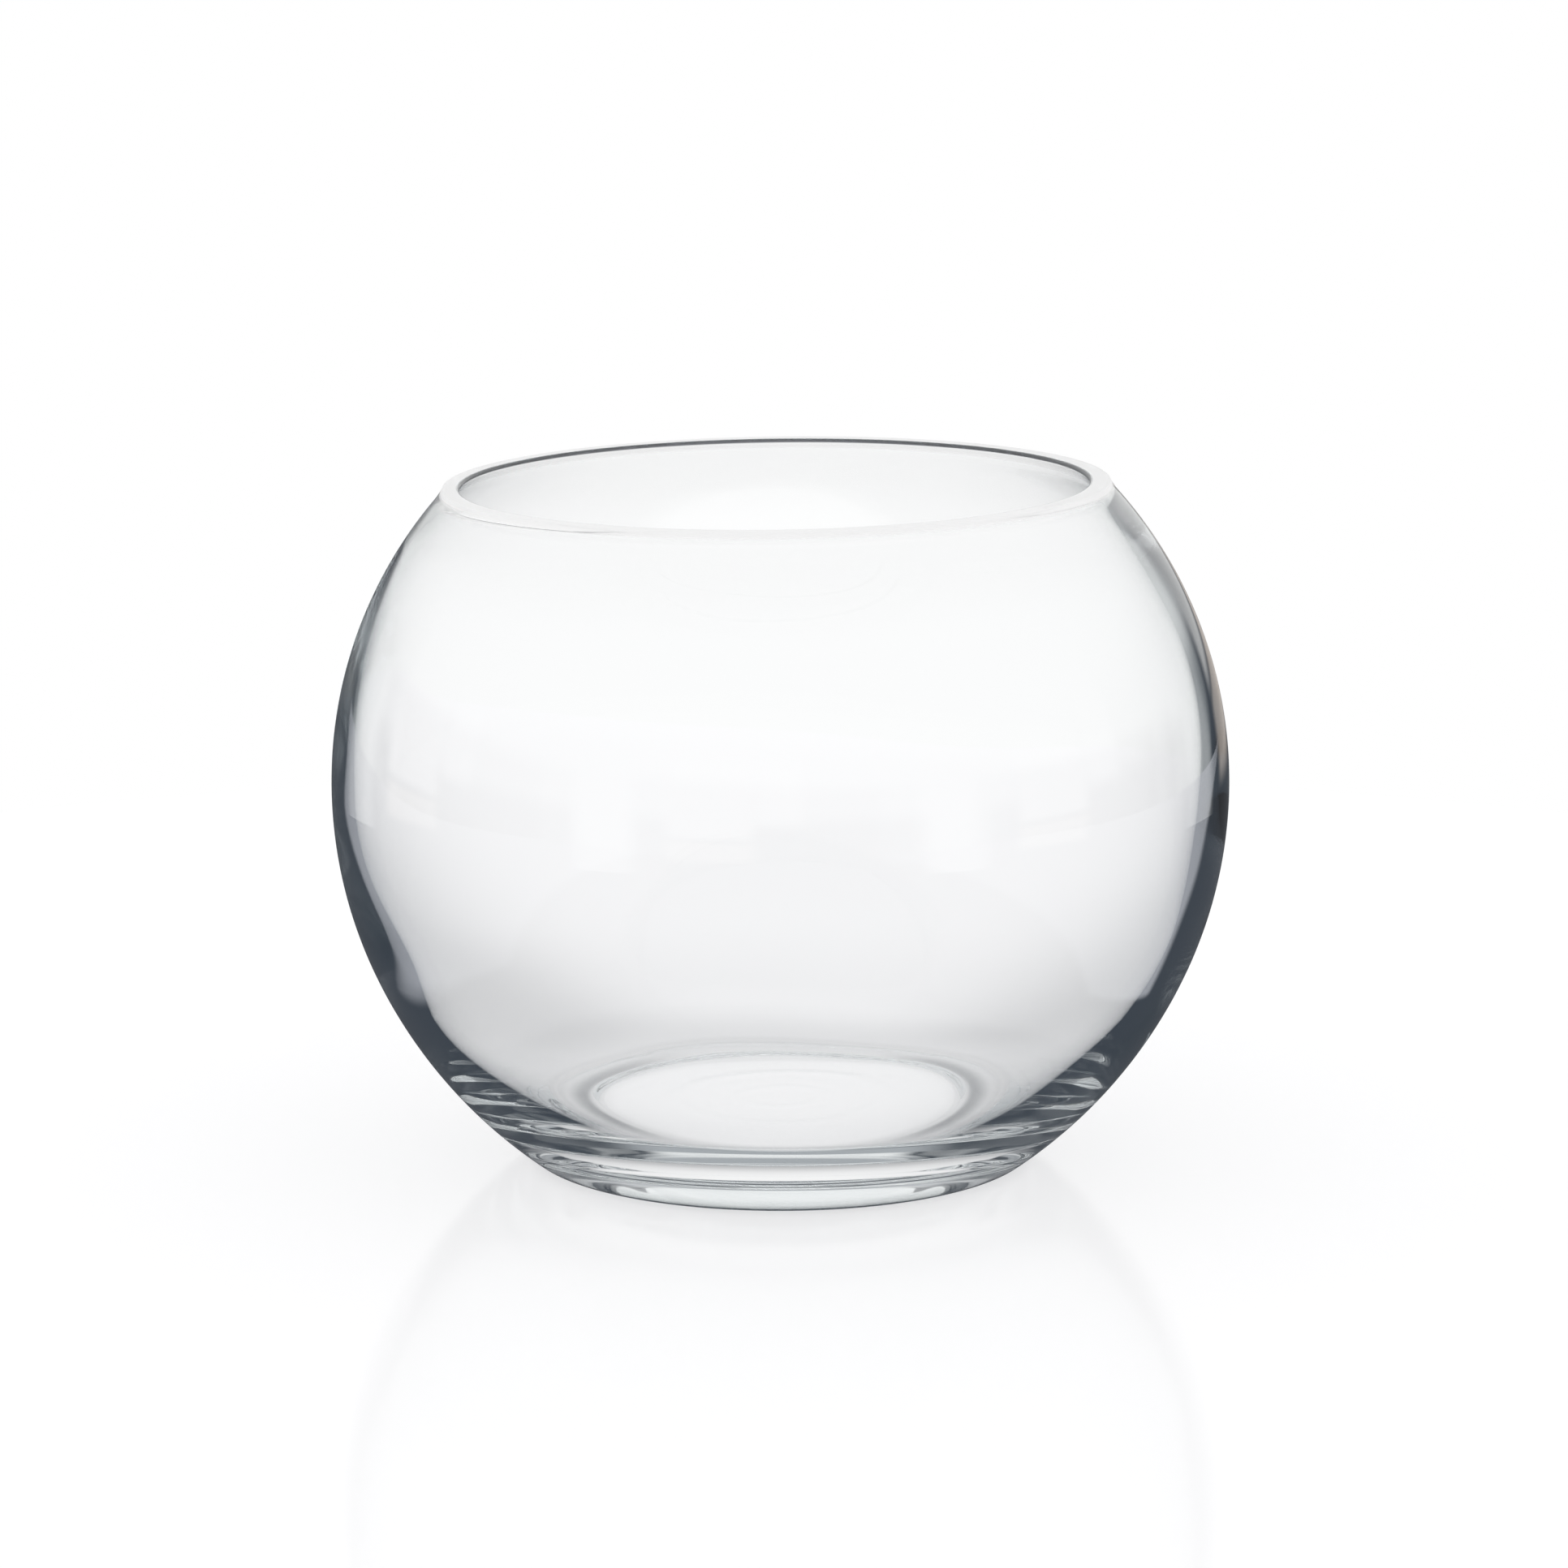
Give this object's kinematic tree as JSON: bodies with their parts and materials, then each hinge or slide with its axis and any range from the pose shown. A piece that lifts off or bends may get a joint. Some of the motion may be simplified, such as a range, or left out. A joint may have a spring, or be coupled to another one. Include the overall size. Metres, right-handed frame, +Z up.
{
  "type": "fishbowl vase",
  "caption": "Round clear glass fishbowl vase with a wide cut mouth, a wall that thickens downwards and a heavy base on a flat foot ring, for flowers, water or floating candles.",
  "frame": {"origin": "centre of the foot, on the surface that the bowl stands on", "axes": "+Z up along the bowl's axis of revolution; X and Y are alike, and -Y is the side that faces the viewer"},
  "size_m": [0.2, 0.2, 0.1523],
  "materials": {
    "clear_glass": "clear colourless blown glass, fire-polished wall with faint inner ripples, rim cut and ground satin, cool slate tint where the glass is thick"
  },
  "bodies": {
    "root": {"glass_bowl": "clear_glass"}
  },
  "joints": []
}
